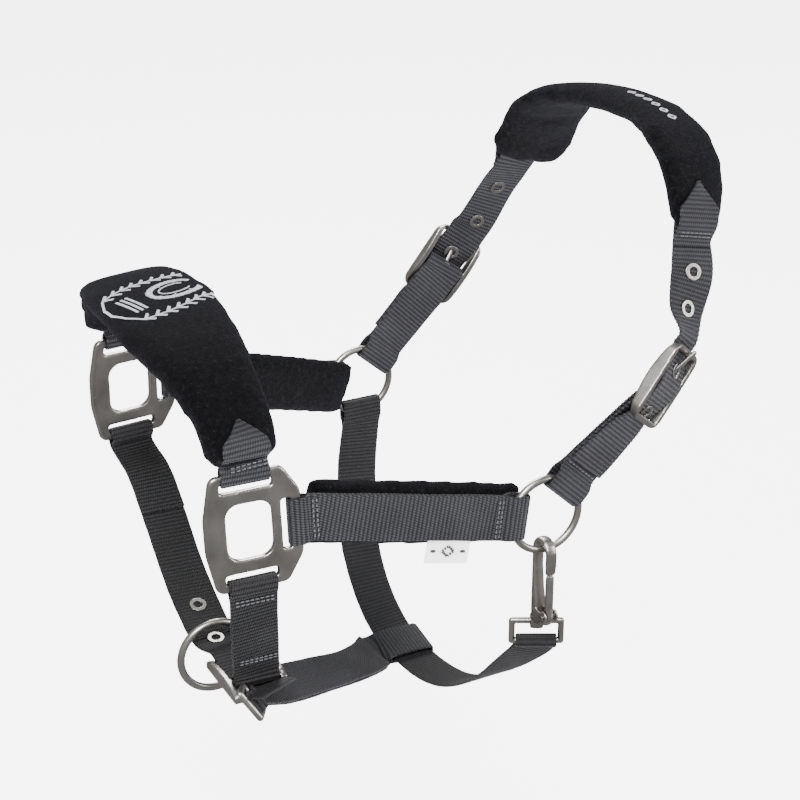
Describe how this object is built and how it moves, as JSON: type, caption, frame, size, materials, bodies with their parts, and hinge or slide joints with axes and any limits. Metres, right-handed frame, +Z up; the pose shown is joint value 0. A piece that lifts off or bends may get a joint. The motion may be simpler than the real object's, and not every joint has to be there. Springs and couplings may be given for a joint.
{
  "type": "headcollar",
  "caption": "Headcollar of flat webbing with fleece poll, nose and cheek pads, side rings and plates, buckles and a snap hook throat strap.",
  "frame": {"origin": "middle of the poll pad's underside, where the headcollar rests behind the ears", "axes": "+Z up, -X towards the nose, -Y the horse's left (near side)"},
  "size_m": [0.3398, 0.2552, 0.3525],
  "materials": {
    "webbing": "ribbed nylon webbing, matt",
    "fleece": "short black fleece",
    "foam": "open foam",
    "label": "woven label",
    "nickel": "satin nickel plate"
  },
  "bodies": {
    "headpiece": {"poll_pad": "fleece", "poll_pad_foam": "foam", "crown_strap": "webbing", "near_crown_tab": "webbing", "far_crown_tab": "webbing", "near_crown_eyelets": "nickel", "far_crown_eyelets": "nickel", "near_crown_buckle": "nickel", "far_crown_buckle": "nickel", "near_ring_strap": "webbing", "far_ring_strap": "webbing"},
    "near_prong": {"near_buckle_prong": "nickel"},
    "far_prong": {"far_buckle_prong": "nickel"},
    "near_ring": {"near_cheek_ring": "nickel"},
    "far_ring": {"far_cheek_ring": "nickel"},
    "muzzle": {"nose_pad": "fleece", "nose_pad_foam": "foam", "nose_strap": "webbing", "near_nose_tab": "webbing", "far_nose_tab": "webbing", "near_cheek_plate": "nickel", "far_cheek_plate": "nickel", "near_cheek_strap": "webbing", "far_cheek_strap": "webbing", "near_cheek_pad": "fleece", "far_cheek_pad": "fleece", "side_label": "label", "near_chin_strap": "webbing", "far_chin_strap": "webbing", "chin_eyelets": "nickel", "chin_buckle": "nickel", "connecting_strap": "webbing", "throat_strap": "webbing"},
    "chin_prong": {"chin_buckle_prong": "nickel"},
    "lead_ring": {"lead_ring": "nickel"},
    "snap_eye": {"snap_eye": "nickel"},
    "snap": {"snap_body": "nickel", "snap_pin": "nickel", "snap_rivet": "nickel"},
    "snap_gate": {"snap_gate": "nickel"}
  },
  "joints": [
    {"name": "near_prong_hinge", "type": "hinge", "parent": "headpiece", "child": "near_prong", "pos_m": [-0.046, -0.1185, -0.111], "axis": [0.6961, 0.4249, -0.5787], "range_deg": [0, 6]},
    {"name": "far_prong_hinge", "type": "hinge", "parent": "headpiece", "child": "far_prong", "pos_m": [-0.051, 0.1147, -0.1207], "axis": [-0.8022, 0.1665, 0.5734], "range_deg": [0, 6]},
    {"name": "near_ring_spin", "type": "hinge", "parent": "headpiece", "child": "near_ring", "pos_m": [-0.1075, -0.109, -0.178], "axis": [-0.0159, 0.9994, -0.0317], "continuous": true},
    {"name": "far_ring_spin", "type": "hinge", "parent": "headpiece", "child": "far_ring", "pos_m": [-0.111, 0.1115, -0.185], "axis": [-0.0159, 0.9994, -0.0317], "continuous": true},
    {"name": "muzzle_swing", "type": "hinge", "parent": "headpiece", "child": "muzzle", "pos_m": [-0.1075, -0.109, -0.178], "axis": [-0.0159, 0.9994, -0.0317], "range_deg": [-20, 25]},
    {"name": "chin_prong_hinge", "type": "hinge", "parent": "muzzle", "child": "chin_prong", "pos_m": [-0.2665, -0.088, -0.246], "axis": [-1, 0, 0], "range_deg": [0, 6]},
    {"name": "lead_ring_swing", "type": "hinge", "parent": "muzzle", "child": "lead_ring", "pos_m": [-0.2718, -0.045, -0.247], "axis": [1, 0, 0], "range_deg": [-15, 15]},
    {"name": "snap_eye_swing", "type": "hinge", "parent": "muzzle", "child": "snap_eye", "pos_m": [-0.1073, -0.1029, -0.258], "axis": [0.895, -0.446, 0], "range_deg": [-0.9, 0.9]},
    {"name": "snap_swing", "type": "hinge", "parent": "snap_eye", "child": "snap", "pos_m": [-0.1073, -0.1029, -0.2455], "axis": [0.895, -0.446, 0], "range_deg": [-0.9, 0.9]},
    {"name": "gate_hinge", "type": "hinge", "parent": "snap", "child": "snap_gate", "pos_m": [-0.1073, -0.1156, -0.2365], "axis": [-1, 0, 0], "range_deg": [0, 12], "stiffness_Nm_per_rad": 0.02, "springref_deg": -11.46}
  ]
}
